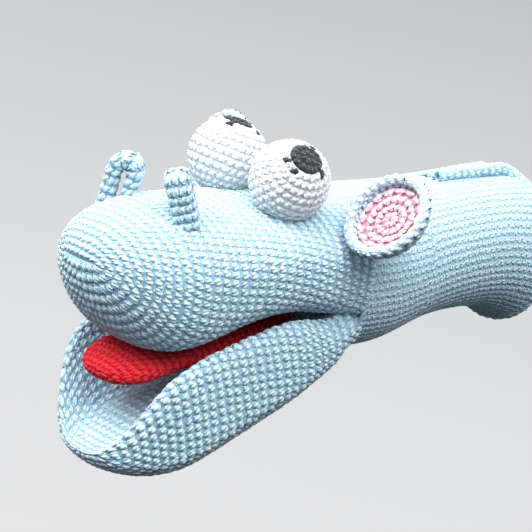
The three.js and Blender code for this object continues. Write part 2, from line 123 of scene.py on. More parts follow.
def evenly_round(ring, count=256):
    """The same closed ring with its points at equal steps of length."""
    closed = np.vstack([ring, ring[:1]])
    step = np.linalg.norm(np.diff(closed, axis=0), axis=1)
    walked = np.concatenate([[0], np.cumsum(step)])
    wanted = np.linspace(0, walked[-1], count, endpoint=False)
    return np.stack([np.interp(wanted, walked, closed[:, k]) for k in range(3)], axis=1)


def unit(vectors):
    """Vectors scaled to length one."""
    return vectors / np.maximum(np.linalg.norm(vectors, axis=-1, keepdims=True), 1e-9)


def ease(low, high, value):
    """0 below low, 1 above high, and a smoothstep between."""
    t = np.clip((value - low) / (high - low), 0, 1)
    return t * t * (3 - 2 * t)


# %% [markdown]
# ## Making a mesh
#
# Every piece ends as arrays of points and faces. Faces are given as quads, and a triangle is
# a quad whose last corner is -1. The arrays are copied into the mesh in one go, because a
# loop over a hundred thousand corners in Python would take minutes.


# %% Arrays to a mesh object
def mesh_object(name, points, quads, fields, material):
    """An object at the origin from points in millimetres, quads (last corner -1 for a
    triangle) and per-point fields."""
    mesh = bpy.data.meshes.new(name)
    sizes = np.where(quads[:, 3] < 0, 3, 4)
    corners = quads.ravel()[quads.ravel() >= 0]
    mesh.vertices.add(len(points))
    mesh.vertices.foreach_set("co", (points * mm).astype(np.float32).ravel())
    mesh.loops.add(len(corners))
    mesh.loops.foreach_set("vertex_index", corners.astype(np.int32))
    mesh.polygons.add(len(quads))
    mesh.polygons.foreach_set("loop_start", (np.cumsum(sizes) - sizes).astype(np.int32))
    mesh.polygons.foreach_set("use_smooth", np.ones(len(quads), bool))
    for field, values in fields.items():
        kind = "FLOAT" if values.ndim == 1 else "FLOAT_VECTOR"
        attribute = mesh.attributes.new(field, kind, "POINT")
        slot = "value" if values.ndim == 1 else "vector"
        attribute.data.foreach_set(slot, values.astype(np.float32).ravel())
    mesh.update()
    mesh.validate()
    made = bpy.data.objects.new(name, mesh)
    bpy.context.scene.collection.objects.link(made)
    mesh.materials.append(material)
    return made


# %% [markdown]
# ## One stitch
#
# A crochet stitch shows as a slanted pair of loops: a plump one in front and a thinner one
# tucked beside it. Each is a lobe, a short sausage that swells in the middle. The pair is
# made once, in a square that reaches from -1 to 1 both along the round (x) and from one
# round to the next (y), with z out of the cloth in millimetres. It is then stretched over
# every stitch's own square.

# %% Faces between rows of points
def strip(row, other, width):
    """Quads from each point of one closed row to the same point of another, where every
    row has the same number of points."""
    k = np.arange(width)
    after = (k + 1) % width
    return np.stack([row * width + k, row * width + after, other * width + after, other * width + k], 1)


def shifted(quads, by):
    """The quads for points that come later by a number of places. A corner of -1 stays."""
    return np.where(quads < 0, -1, quads + by)


# %% The lobe and the stitch
GAUGE = 3.5, 4.5  # width and height of a stitch, in millimetres


def lobe(start, end, radius, swell=0.45, rings=4, sides=6, flat=0.64):
    """A closed sausage from start to end. At share s of its length its radius is the given
    one times (1 - (2s - 1)^2)^0.4, and its middle line arches out by swell sin(pi s). Its
    section is an oval, flat times as high as it is wide."""
    start, end = np.asarray(start, float), np.asarray(end, float)
    scale = np.array([GAUGE[0] / 2, GAUGE[1] / 2, 1])
    axis = (end - start) * scale
    across = unit(np.array([-axis[1], axis[0], 0]))
    s = (np.arange(rings) + 0.7) / (rings + 0.4)
    phi = 2 * math.pi * np.arange(sides) / sides - math.pi / 2
    around = np.cos(phi)[:, None] * across + np.sin(phi)[:, None] * np.array([0, 0, flat])
    thick = radius * (1 - (2 * s - 1) ** 2) ** 0.4
    arch = swell * np.sin(math.pi * s)[:, None] * np.array([0, 0, 1.0])
    middle = start * scale + s[:, None] * axis + arch
    points = (middle[:, None] + thick[:, None, None] * around[None]).reshape(-1, 3)
    points = np.vstack([points, start * scale, end * scale])
    k = np.arange(sides)
    after = (k + 1) % sides
    quads = [strip(i, i + 1, sides) for i in range(rings - 1)]
    none = np.full(sides, -1)
    first, last = np.full(sides, rings * sides), np.full(sides, rings * sides + 1)
    quads.append(np.stack([after, k, first, none], 1))
    quads.append(np.stack([(rings - 1) * sides + k, (rings - 1) * sides + after, last, none], 1))
    length = np.linalg.norm(axis)
    along = np.concatenate([np.repeat(s, sides), [0, 1]]) * length
    turn = np.concatenate([np.tile(np.arange(sides) / sides, rings), [0, 0]])
    return points / scale, np.vstack(quads), np.stack([along, turn], 1)


def joined(lobes):
    """Several lobes as one template."""
    points, quads, marks, used = [], [], [], 0
    for p, q, m in lobes:
        points.append(p)
        quads.append(shifted(q, used))
        marks.append(m)
        used += len(p)
    return np.vstack(points), np.vstack(quads), np.vstack(marks)


STITCH = joined([
    lobe((-1.15, -0.75, 0.0), (1.0, 0.62, 0.15), 1.5, 0.25, flat=0.55),
    lobe((-0.3, 1.02, -0.1), (1.05, -0.8, -0.2), 1.25, 0.2, flat=0.55),
])
SINGLE = joined([lobe((-0.95, -0.7, 0), (0.95, 0.65, 0), 1.5, 0.3)])
ROOF = joined([
    lobe((-0.9, -1.1, -0.05), (0.8, 0.15, 0.15), 1.08, 0.12, flat=0.5),
    lobe((0.85, -0.1, 0.05), (-0.95, 1.1, -0.12), 1.08, 0.12, flat=0.5),
])
print("one stitch has", len(STITCH[1]), "faces")

# %% [markdown]
# ## A whole cloth
#
# A cloth is given as a stack of closed rings, from its open end to its toe. The rings are
# walked at equal steps, one per round, and each round takes as many stitches as its length
# allows, never more than the tube's own count. A round starts a third of a stitch further
# on than the last one, as rounds do when they are worked in a spiral. Each stitch is turned
# and sized a few per cent differently, because hands aren't machines.

# %% Rounds of stitches over rings
random = np.random.default_rng(7)


def place(template, at, across, up, out):
    """The template's points carried to every stitch: at + x across + y up + z out."""
    points, quads, marks = template
    count, each = len(at), len(points)
    jitter = 1 + 0.07 * random.standard_normal((count, 3, 1))
    lean, slip, rise = 0.08 * random.standard_normal((3, count, 1))
    side = across + lean * up
    moved = ((at + slip * across + rise * up)[:, None]
             + points[None, :, :1] * (side * jitter[:, 0])[:, None]
             + points[None, :, 1:2] * (up * jitter[:, 1])[:, None]
             + points[None, :, 2:] * (out * jitter[:, 2])[:, None])
    all_quads = shifted(quads[None], (each * np.arange(count))[:, None, None])
    own = np.repeat(random.random(count), each)
    yarn = np.column_stack([np.tile(marks, (count, 1)), own])
    height = np.tile(points[:, 2], count)
    return moved.reshape(-1, 3), all_quads.reshape(-1, 4), yarn, height


def rounds_of(rings, height):
    """The rings at the middle of each round and half a round before and after it."""
    rings = np.stack([evenly_round(ring) for ring in rings])
    gap = np.linalg.norm(np.diff(rings, axis=0), axis=2).mean(1)
    walked = np.concatenate([[0], np.cumsum(gap)])
    count = max(1, round(walked[-1] / height))
    step = walked[-1] / count
    places = step * (np.arange(2 * count + 1) / 2)
    i = np.clip(np.searchsorted(walked, places) - 1, 0, len(walked) - 2)
    t = ((places - walked[i]) / (walked[i + 1] - walked[i]))[:, None, None]
    return rings[i] * (1 - t) + rings[i + 1] * t


def on_ring(ring, share):
    """Points at shares of the way round a ring."""
    place_on = (share % 1) * len(ring)
    i = place_on.astype(int) % len(ring)
    t = (place_on - np.floor(place_on))[:, None]
    return ring[i] * (1 - t) + ring[(i + 1) % len(ring)] * t


def facing_out(rings, toward=None):
    """The rings in the order round which makes (next point - point) x (next ring - ring)
    point away from the rings' middles, or along a given direction."""
    across = np.roll(rings, -1, 1) - rings
    out = np.cross(across[:-1], np.diff(rings, axis=0))
    wanted = rings - rings.mean(1, keepdims=True)
    if toward is not None:
        wanted = np.broadcast_to(toward, rings.shape)
    return rings if (out * wanted[:-1]).sum() > 0 else rings[:, ::-1]


def crochet(rings, gauge=GAUGE, keep=None, drift=0.36, least=6, brick=False):
    """The place, half width, half height and outward direction of every stitch over the
    rings. keep(points) may leave some stitches out. In brick order every other stitch of a
    round is moved half a round on, and the rounds don't drift."""
    half = rounds_of(rings, gauge[1])
    middles = half[1::2]
    lengths = np.linalg.norm(np.roll(middles, -1, 1) - middles, axis=2).sum(1)
    full = round(np.median(lengths) / gauge[0])
    start, parts = 0.0, []
    for i, ring in enumerate(middles):
        count = int(max(least, min(full, round(lengths[i] / gauge[0]))))
        if brick:
            count = 2 * round(full / 2)
        start += 0 if brick else drift / count
        share = np.arange(count) / count + start
        at = on_ring(ring, share)
        across = (on_ring(ring, share + 0.5 / count) - on_ring(ring, share - 0.5 / count)) / 2
        up = (on_ring(half[2 * i + 2], share) - on_ring(half[2 * i], share)) / 2
        out = unit(np.cross(across, up))
        if brick:
            at = at + (np.arange(count) % 2 - 0.5)[:, None] * up
        chosen = np.ones(count, bool) if keep is None else keep(at)
        if chosen.any():
            parts.append([v[chosen] for v in (at, across, up, out)])
    at, across, up, out = (np.concatenate([p[k] for p in parts]) for k in range(4))
    return at, across, up, out


def cloth(rings, thick=1.8, sides=72, sunk=0.35, closed_end=True):
    """A plain two-sided cloth along the rings: its outside lies sunk under the stitches
    and its inside is thick further in. It turns over at the open end and, if the last ring
    is open too, at that end as well."""
    rings = np.stack([evenly_round(ring, sides) for ring in rings])
    across = np.roll(rings, -1, 1) - np.roll(rings, 1, 1)
    along = np.gradient(rings, axis=0)
    out = unit(np.cross(across, along))
    outside = rings - sunk * out
    inside = rings - (sunk + thick) * out
    if closed_end:
        outside = np.concatenate([outside, np.broadcast_to(outside[-1].mean(0), (1, sides, 3))])
        inside = np.concatenate([inside, np.broadcast_to(inside[-1].mean(0), (1, sides, 3))])
    layers = np.concatenate([outside, inside[::-1]])
    count = len(layers)
    toe_row = len(outside) - 1 if closed_end else None
    quads = [strip(i, (i + 1) % count, sides) for i in range(count) if i != toe_row]
    return layers.reshape(-1, 3), np.vstack(quads)


# %% [markdown]
# ## Yarn
#
# In pale crocheted yarn the gaps look much darker and more saturated than the crowns,
# because light bounces from loop to loop before it comes out. That shade is painted in
# here: the colour runs from a painted gap shade to the pale yarn colour with each point's
# height in its stitch. It also varies a little from stitch to stitch, and is broken up by
# the twist of the plies.


# %% Shader sockets with ordinary arithmetic
class Value:
    """A shader socket that can be added, taken away, multiplied and divided."""

    def __init__(self, tree, socket):
        self.tree, self.socket = tree, socket

    def maths(self, kind, *others, swap=False):
        """A maths node with this value first, or last if swapped."""
        node = self.tree.nodes.new("ShaderNodeMath")
        node.operation = kind
        terms = [self, *others]
        if swap:
            terms = [*others, self]
        for k, term in enumerate(terms):
            if isinstance(term, Value):
                self.tree.links.new(term.socket, node.inputs[k])
            else:
                node.inputs[k].default_value = term
        return Value(self.tree, node.outputs[0])

    def __add__(self, other): return self.maths("ADD", other)
    def __radd__(self, other): return self.maths("ADD", other)
    def __sub__(self, other): return self.maths("SUBTRACT", other)
    def __rsub__(self, other): return self.maths("SUBTRACT", other, swap=True)
    def __mul__(self, other): return self.maths("MULTIPLY", other)
    def __rmul__(self, other): return self.maths("MULTIPLY", other)
    def __truediv__(self, other): return self.maths("DIVIDE", other)
    def __rtruediv__(self, other): return self.maths("DIVIDE", other, swap=True)
    def sine(self): return self.maths("SINE")

    def clamped(self, low=0.0, high=1.0):
        """The value, but not below low nor above high."""
        return self.maths("MAXIMUM", low).maths("MINIMUM", high)


def add_node(tree, kind, inputs=None, output=0, **settings):
    """A new node with its settings and inputs. A Value is linked, anything else is set."""
    node = tree.nodes.new(kind)
    for name, setting in settings.items():
        setattr(node, name, setting)
    for name, value in (inputs or {}).items():
        if isinstance(value, Value):
            tree.links.new(value.socket, node.inputs[name])
        else:
            node.inputs[name].default_value = value
    return Value(tree, node.outputs[output])


# %% The yarn material
def yarn_material(name, pale, gap_shade, twist=1.0, sheen=0.25, low=-0.8, high=0.95):
    """Yarn whose colour runs from painted gap shade to the pale yarn colour between two heights in the
    stitch.
    """
    material = bpy.data.materials.new(name)
    material.use_nodes = True
    tree = material.node_tree
    surface = tree.nodes["Principled BSDF"]
    yarn = tree.nodes.new("ShaderNodeAttribute")
    yarn.attribute_name = "yarn"
    parts = tree.nodes.new("ShaderNodeSeparateXYZ")
    tree.links.new(yarn.outputs["Vector"], parts.inputs[0])
    along, turn, own = (Value(tree, parts.outputs[k]) for k in range(3))
    height = add_node(tree, "ShaderNodeAttribute", output=2, attribute_name="height")
    where = add_node(tree, "ShaderNodeTexCoord", output=3)
    fuzz = add_node(tree, "ShaderNodeTexNoise", {"Vector": where, "Scale": 1900.0, "Detail": 4.0})
    cloudy = add_node(tree, "ShaderNodeTexNoise", {"Vector": where, "Scale": 60.0, "Detail": 2.0})
    plies = (along * 3.2 + turn * 12.566 + own * 6.0).sine()
    # painted shade: the lower a point lies in its stitch, the more of the gap shade colour it takes
    rise = ((height - low) / (high - low)).clamped()
    tone = (rise + (fuzz - 0.5) * 0.35 + (own - 0.5) * 0.16 + plies * 0.05 * twist
            + (cloudy - 0.5) * 0.2).clamped()
    colour = add_node(tree, "ShaderNodeMix", {"Factor": tone, "A": (*gap_shade, 1), "B": (*pale, 1)}, 2,
                      data_type="RGBA")
    tree.links.new(colour.socket, surface.inputs["Base Color"])
    rough = (0.95 - fuzz * 0.12).clamped()
    tree.links.new(rough.socket, surface.inputs["Roughness"])
    surface.inputs["Specular IOR Level"].default_value = 0.05
    surface.inputs["Sheen Weight"].default_value = sheen
    surface.inputs["Subsurface Weight"].default_value = 0.6
    surface.inputs["Subsurface Radius"].default_value = (1.0, 1.0, 1.0)
    surface.inputs["Subsurface Scale"].default_value = 0.0012
    surface.inputs["Sheen Roughness"].default_value = 0.5
    relief = plies * 0.6 * twist + fuzz
    bump = add_node(tree, "ShaderNodeBump", {"Height": relief, "Strength": 0.7, "Distance": 0.0007})
    tree.links.new(bump.socket, surface.inputs["Normal"])
    return material


# each yarn's second colour is painted shade for the gaps between its loops, not a colour of the yarn
# itself
SKY = yarn_material("sky_blue_yarn", (0.57, 0.8, 0.93), (0.34, 0.58, 0.76))
PALE = yarn_material("pale_yarn", (0.68, 0.8, 0.93), (0.42, 0.58, 0.75))
# only for the dark marks of painted shade in the slots of the ear edging
SLOT_SHADE = yarn_material("painted_slot_shade", (0.06, 0.12, 0.22), (0.015, 0.03, 0.07))
SNOW = yarn_material("white_yarn", (0.96, 0.96, 0.96), (0.84, 0.85, 0.86))
COAL = yarn_material("charcoal_yarn", (0.035, 0.035, 0.04), (0.006, 0.006, 0.008))
ROSE = yarn_material("pink_yarn", (0.96, 0.54, 0.64), (0.9, 0.42, 0.53))
CHERRY = yarn_material("red_yarn", (0.94, 0.03, 0.045), (0.66, 0.01, 0.02), sheen=0.05)


# %% A cloth and its stitches as two pieces
def plain_cloth(name, points, quads, level, material):
    """The cloth under the stitches, darkened with painted shade as much as a stitch is at the given
    level.
    """
    fields = {"yarn": np.column_stack([points[:, :2], np.full(len(points), 0.5)]),
              "height": np.full(len(points), level)}
    return mesh_object(name, points, quads, fields, material)


FLATTENED = 0.75  # a stitch's height off the cloth, as a share of the template's


def crocheted(name, rings, material, gauge=GAUGE, template=STITCH, keep=None, closed_end=True,
              thick=1.8, sunk=0.7, drift=0.36, sides=72, least=6, outward=0.0, toward=None):
    """The plain cloth, and the stitches over it. The stitches' own size is read from the
    gauge, so that thin pieces can be worked finer. outward lifts them off the cloth."""
    rings = facing_out(rings, toward)
    base = plain_cloth(name + "_cloth", *cloth(rings, thick, sides, sunk, closed_end), -0.7, material)
    at, across, up, out = crochet(rings, gauge, keep, drift, least)
    scale = (gauge[0] / GAUGE[0] + gauge[1] / GAUGE[1]) / 2
    at = at + (outward - FLATTENED) * scale * out
    points, quads, yarn, height = place(template, at, across, up, out * scale * FLATTENED)
    work = mesh_object(name + "_stitches", points, quads, {"yarn": yarn, "height": height}, material)
    print(name, len(at), "stitches,", len(quads), "faces")
    return base, work


# %% [markdown]
# ## Sleeve, wrist and cheeks
#
# The rear of the tube is an oval that narrows at the wrist and flares to the rim. It is
# made as two pieces that meet in the middle of the wrist's band. The first follows the
# sleeve and then the band, the second follows the band and then the head, so both bend
# smoothly where the cloth does. A slit is left open along the top of the sleeve.

# %% The neck's rings
NECK = np.array([
    # y, half width, top, bottom
    [CORNER_Y, 44.5, 29.5, -40.0],
    [CHEEK_REAR, 42.5, 30.0, -39.5],
    [SLEEVE_FRONT - 6, 38.5, 31.0, -29.5],
    [SLEEVE_FRONT + 12, 37.0, 33.0, -27.0],
    [0.45 * SLEEVE_FRONT, 36.5, 34.5, -27.0],
    [RIM_Y, 37.0, 36.0, -34.5],
])


def neck_rings(front, rear, count=40):
    """Ovals whose half width is a and half height b: x = a cos t, z = middle + b sin t,
    each to the power 0.94, starting at the bottom."""
    y = np.linspace(rear, front, count)
    wide, top, bottom = through(NECK[:, 0], NECK[:, 1:], y).T
    t = np.linspace(0, 2 * math.pi, 256, endpoint=False) - math.pi / 2
    x = wide[:, None] * power(np.cos(t), 0.94)
    z = ((top + bottom) / 2)[:, None] + ((top - bottom) / 2)[:, None] * power(np.sin(t), 0.94)
    return np.stack([x, np.broadcast_to(y[:, None], x.shape), z], axis=2)


SLIT_LENGTH = RIM_Y - box("sleeve_edging")[0][1]
SLIT_CLOSED, SLIT_OPEN = 1.4, 4.6  # half the slit's width at its closed end and at the rim


def slit_half(y):
    """Half the slit's width: it widens evenly from its closed end to the rim."""
    share = np.clip((y + SLIT_LENGTH) / SLIT_LENGTH, 0, 1)
    return SLIT_CLOSED + (SLIT_OPEN - SLIT_CLOSED) * share


def clear_of_slit(points):
    """True for stitches that aren't over the slit."""
    x, y, z = points.T
    return ~((z > 0) & (y > -SLIT_LENGTH) & (np.abs(x) < slit_half(y) + 4.0))


BAND_Y = sum(BAND) / 2
sleeve_rings = neck_rings(BAND_Y, RIM_Y - 2.0)
cheek_rings = neck_rings(CORNER_Y - 1.0, BAND_Y)
print("sleeve rings", sleeve_rings.shape)


# %% [markdown]
# The sleeve's plain cloth has to open along the slit, so its rings are cut there: each ring
# becomes an open band that starts on one edge of the slit and ends on the other, and the
# band is closed into a thin solid by its inner side.

# %% Slit cloth
def slit_cloth(rings, sunk=0.35, thick=1.8, sides=96, fine=720):
    """A two-sided band round each ring from one edge of the slit to the other. Where there
    is no slit the two edges meet at the top."""
    made = []
    for ring in rings:
        even = evenly_round(ring, fine)
        y = even[0, 1]
        gap = slit_half(y) + 2.0 if y > -SLIT_LENGTH else 0.0
        top = int(np.argmax(even[:, 2]))
        skip = gap / np.linalg.norm(even[1] - even[0])
        share = (top + np.linspace(skip, fine - skip, sides)) / fine
        made.append(on_ring(even, share))
    rings = np.stack(made)
    across = np.gradient(rings, axis=1)
    along = np.gradient(rings, axis=0)
    out = unit(np.cross(across, along))
    outside, inside = rings - sunk * out, rings - (sunk + thick) * out
    loop = np.concatenate([outside, inside[:, ::-1]], axis=1)
    rows, width = loop.shape[:2]
    quads = [strip(i, i + 1, width) for i in range(rows - 1)]
    k = np.arange(sides - 1)
    far = width - 1 - k
    quads.append(np.stack([k + 1, k, far, far - 1], 1))
    last = (rows - 1) * width
    quads.append(np.stack([last + k, last + k + 1, last + far - 1, last + far], 1))
    return loop.reshape(-1, 3), np.vstack(quads)


# %% Sleeve and cheeks
def neck_piece(name, rings, keep, base_points):
    """The plain cloth and the stitches of one length of the neck, outside and inside."""
    base = plain_cloth(name + "_cloth", *base_points, -0.1, SKY)
    at, across, up, out = crochet(facing_out(rings), (3.5, 3.4), keep, brick=True)
    outer = place(ROOF, at - 0.35 * out, across, up, out * 0.5)
    inner = place(SINGLE, at - 3.1 * out, -across, up, -out * 0.8)
    points = np.vstack([outer[0], inner[0]])
    quads = np.vstack([outer[1], shifted(inner[1], len(outer[0]))])
    # painted shade: the inside stitches count as lower in their stitch, so they take more of the gap
    # shade colour, for the shade inside the tube
    yarn, height = np.vstack([outer[2], inner[2]]), np.concatenate([outer[3], inner[3] - 0.3])
    work = mesh_object(name + "_stitches", points, quads, {"yarn": yarn, "height": height}, SKY)
    print(name, len(at), "stitches,", len(quads), "faces")
    return base, work


sleeve = neck_piece("sleeve", sleeve_rings, clear_of_slit, slit_cloth(facing_out(sleeve_rings)))
cheeks = neck_piece("cheeks", cheek_rings, None, cloth(facing_out(cheek_rings), closed_end=False))
for piece in sleeve:
    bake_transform(piece)
for piece in cheeks:
    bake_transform(piece)
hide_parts("sleeve_tube", "wrist_fabric_rear", "wrist_band")
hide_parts("cheek_tube", "wrist_fabric_front")

# %% [markdown]
# ## Upper jaw
#
# The upper jaw is the same tube with a palate closing its underside and a rounded toe. Its
# lower half is squarer than its upper one, which gives the snout its lips. The toe doesn't
# shrink to a point: the work starts from a short chain across the snout, so the last rounds
# nest about a line.

# %% Upper jaw rings
UPPER = np.array([
    # y, half width, top, bottom, squareness of the lower half
    [SNOUT_Y - 2, 43.0, 28.0, -30.0, 0.08],
    [SNOUT_Y + 32, 43.5, 28.5, -36.5, 0.22],
    [SNOUT_Y + 50, 44.0, 28.5, -30.5, 0.32],
    [SNOUT_Y + 72, 46.0, 28.5, -21.0, 0.34],
    [SNOUT_Y + 90, 46.5, 28.5, -17.5, 0.36],
    [SNOUT_Y + 112, 45.5, 29.0, -18.5, 0.44],
    [CORNER_Y + 1, 44.5, 29.5, -20.5, 0.5],
])
SNOUT_ROUND = 50.0
SNOUT_Z = 4.5
CORE = 11.0  # half length of the starting chain


def toe(rings_at, rear, start, tip, tip_z, core, straight=60, turn=40):
    """Rings from the open end to the start of the toe and on round it. A toe ring keeps a
    share s of its height, and s + (1 - s) core / width of its width, so the rings shrink
    towards a line across the tip. They lie on an oval toe: y advances with
    sqrt(1 - r^2), where r is a point's distance from the middle as a share of the outline's."""
    y = np.linspace(rear, start, straight)
    body = rings_at(y)
    angle = np.linspace(0, math.pi / 2, turn + 1)[1:] * 0.985
    share = np.cos(angle)[:, None]
    cap = rings_at(start + (tip - start) * np.sin(angle))
    wide = np.abs(cap[:, :, 0]).max(1)[:, None]
    kept = share + (1 - share) * core / wide
    sideways = np.clip(cap[:, :, 0] / wide, -1, 1) ** 2
    r_squared = share**2 + sideways * (kept**2 - share**2)
    y = start + (tip - start) * np.sqrt(np.clip(1 - r_squared, 0, 1))
    z = tip_z + (cap[:, :, 2] - tip_z) * share
    return np.concatenate([body, np.stack([cap[:, :, 0] * kept, y, z], axis=2)])


def upper_at(y):
    """Ovals like the neck's, with the lower half's power lessened by the squareness."""
    wide, top, bottom, square = through(UPPER[:, 0], UPPER[:, 1:], y).T[:, :, None]
    t = np.linspace(0, 2 * math.pi, 256, endpoint=False)[None] - math.pi / 2
    exponent = np.where(np.sin(t) < 0, 0.94 - square, 0.94)
    x = wide * power(np.cos(t), exponent)
    z = (top + bottom) / 2 + (top - bottom) / 2 * power(np.sin(t), exponent)
    return np.stack([x, np.broadcast_to(y[:, None], x.shape), z], axis=2)


upper_rings = toe(upper_at, CORNER_Y + 1, SNOUT_Y + SNOUT_ROUND, SNOUT_Y + 1.5, SNOUT_Z, CORE)
upper_jaw = crocheted("upper_jaw", upper_rings, SKY, gauge=(3.5, 4.7))
for piece in upper_jaw:
    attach(piece, "head")
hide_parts("upper_jaw_tube")

# %% [markdown]
# ## Lower jaw
#
# The lower jaw is a scoop: half an oval below, side walls that roll over, and a hollow
# floor between them. It is shaped with the mouth shut and then swung open about the mouth
# corners. Its rear stays with the cheeks and its front follows the jaw, so the throat
# folds between the two.

# %% Lower jaw rings
JAW_TIP = CORNER_Y - 124.0
LOWER = np.array([
    # y, half width, edge, ridge, floor, bottom
    [JAW_TIP - 2, 42.0, -52.0, -38.0, -49.0, -67.5],
    [JAW_TIP + 17, 42.5, -49.0, -19.0, -42.0, -67.0],
    [JAW_TIP + 38, 43.5, -44.0, -11.5, -38.0, -65.0],
    [CORNER_Y - 60, 44.0, -38.0, -8.5, -37.0, -60.0],
    [CORNER_Y - 34, 44.0, -33.0, -8.5, -34.0, -53.5],
    [CORNER_Y - 9, 42.0, -26.0, -15.0, -22.0, -44.0],
    [CORNER_Y + 2, 40.0, -21.0, -14.0, -18.0, -40.5],
])
OPEN = math.radians(15)


def lower_at(y):
    """A smooth closed curve through the section's corners: outer edge, ridge, wall, floor
    and their mirror images, then half an oval below."""
    wide, edge, ridge, floor, bottom = through(LOWER[:, 0], LOWER[:, 1:], y).T
    none = np.zeros_like(wide)
    side = [(wide, edge), (0.97 * wide, ridge - 6), (0.84 * wide, ridge),
            (0.66 * wide, 0.6 * ridge + 0.4 * floor), (0.38 * wide, floor + 1)]
    low = [(wide * math.cos(a), edge - (edge - bottom) * math.sin(a)) for a in np.radians([20, 42, 66])]
    left = [(-x, z) for x, z in reversed(side)]
    under = [(-x, z) for x, z in low] + [(none, bottom)] + [(x, z) for x, z in reversed(low)]
    corners = side + [(none, floor)] + left + under
    knots = np.stack([np.stack(c, axis=1) for c in corners], axis=1)
    knots = np.roll(knots, 4, axis=1)
    t = np.linspace(0, 1, 16, endpoint=False)[None, None, :, None]
    a, b = np.roll(knots, 1, 1)[:, :, None], knots[:, :, None]
    c, d = np.roll(knots, -1, 1)[:, :, None], np.roll(knots, -2, 1)[:, :, None]
    curve = 0.5 * (2 * b + (c - a) * t + (2 * a - 5 * b + 4 * c - d) * t**2
                   + (3 * b - a - 3 * c + d) * t**3)
    flat = curve.reshape(len(wide), -1, 2)
    x, z = flat[:, :, 0], flat[:, :, 1]
    return np.stack([x, np.broadcast_to(y[:, None], x.shape), z], axis=2)


def swung_open(points):
    """Points turned about the mouth corners: not at all at the cheeks, fully at the jaw."""
    angle = OPEN * ease(CORNER_Y + 1, CORNER_Y - 14, points[..., 1])
    y, z = points[..., 1] - HINGE[1], points[..., 2] - HINGE[2]
    return np.stack([points[..., 0], y * np.cos(angle) - z * np.sin(angle) + HINGE[1],
                     y * np.sin(angle) + z * np.cos(angle) + HINGE[2]], axis=-1)


lower_rings = toe(lower_at, CORNER_Y + 2, JAW_TIP + 38, JAW_TIP, -50.0, 12.0)
lower_rings = swung_open(lower_rings)
print("chin at y", round(lower_rings[..., 1].min(), 1), "z", round(lower_rings[..., 2].min(), 1))
lower_jaw = crocheted("lower_jaw", lower_rings, SKY, gauge=(3.6, 4.4))
for piece in lower_jaw:
    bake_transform(piece)
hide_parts("lower_jaw_tube", "throat_fabric")

# %% [markdown]
# ## Tongue
#
# A stuffed red sock, narrow at its root, sewn to the back of the mouth. It is worked in
# rounds like the jaws, only smaller.

# %% Tongue
T_LOW, T_HIGH = box("tongue_cover")
T_ROOT, T_TIP = T_HIGH[1], T_LOW[1]
ROOT_Z = joints["tongue_droop"]["pos_m"][2] / mm


def tongue_at(y):
    """Ovals whose half width grows from 15 to 22.5 and half height from 4 to 8 millimetres
    while their middle sinks along a line."""
    t = (T_ROOT - y) / (T_ROOT - T_TIP)
    wide = 15 + 7.5 * ease(0.0, 0.5, t)
    thick = 4.0 + 4.0 * t
    middle = ROOT_Z - 22.5 * t
    a = np.linspace(0, 2 * math.pi, 256, endpoint=False)[None] - math.pi / 2
    x = wide[:, None] * np.cos(a)
    z = middle[:, None] + thick[:, None] * np.sin(a)
    return np.stack([x, np.broadcast_to(y[:, None], x.shape), z], axis=2)


tongue_rings = toe(tongue_at, T_ROOT, T_TIP + 20, T_TIP, ROOT_Z - 21.5, 5.0)
tongue = crocheted("tongue", tongue_rings, CHERRY, gauge=(3.3, 3.9), sides=48)
for piece in tongue:
    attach(piece, "tongue")
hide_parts("tongue_cover", "tongue_filling")

# %% [markdown]
# ## Eyes
#
# Each eye is a stuffed ball worked in rounds from the pupil down, so its rounds circle the
# way it looks. The first rounds are black and the rest white. The ball is a little flat
# where it is sewn to the head.

# %% Eyes
def ball_rings(centre, radius, gaze, widest_angle, start_angle=2.0, count=60):
    """Circles about the gaze, from the far side of the ball up to the pupil."""
    gaze = unit(np.asarray(gaze, float))
    side = unit(np.cross(gaze, [0.0, 1.0, 0.2]))
    other = np.cross(gaze, side)
    polar = np.radians(np.linspace(widest_angle, start_angle, count))[:, None, None]
    t = np.linspace(0, 2 * math.pi, 256, endpoint=False)[None, :, None]
    round_it = np.cos(t) * side + np.sin(t) * other
    return centre + radius * (np.cos(polar) * gaze + np.sin(polar) * round_it)


PUPIL_EDGE, PUPIL_RAGGED = 29.0, 5.0  # the pupil's edge and its raggedness, in degrees
EYE_SEAM = 158  # where the ball ends against the head, in degrees from the gaze


def eye(side):
    """A ball of white and black stitches, each colour over its own plain cloth. A stitch is
    black if its angle from the gaze, plus a little chance, is less than the pupil's edge."""
    low, high = box(f"eye_{side}_white")
    radius = (high[0] - low[0]) / 2
    centre = np.array([(low[0] + high[0]) / 2, (low[1] + high[1]) / 2, high[2] - radius])
    p_low, p_high = box(f"eye_{side}_pupil")
    gaze = unit((p_low + p_high) / 2 - centre)
    work = crochet(facing_out(ball_rings(centre, radius, gaze, EYE_SEAM)), (3.1, 3.7))
    angle = np.degrees(np.arccos(unit(work[0] - centre) @ gaze))
    black = angle + PUPIL_RAGGED * random.standard_normal(len(angle)) < PUPIL_EDGE
    made = []
    inner = PUPIL_EDGE - 3
    for name, chosen, material, a, b, closed in (("white", ~black, SNOW, EYE_SEAM, inner, False),
                                                 ("pupil", black, COAL, inner, 2.0, True)):
        at, across, up, out = (v[chosen] for v in work)
        points, quads = cloth(facing_out(ball_rings(centre, radius, gaze, a, b)), 1.4, 48, 0.75, closed)
        base = plain_cloth(f"eye_{side}_{name}_cloth", points, quads, -0.5, material)
        points, quads, yarn, height = place(STITCH, at - 0.75 * out, across, up, out * 0.62)
        made.append((base, mesh_object(f"eye_{side}_{name}_stitches", points, quads,
                                       {"yarn": yarn, "height": height}, material)))
    white, pupil = made
    for piece in (*white, *pupil):
        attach(piece, "head")
    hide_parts(f"eye_{side}_white", f"eye_{side}_filling")
    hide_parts(f"eye_{side}_pupil")


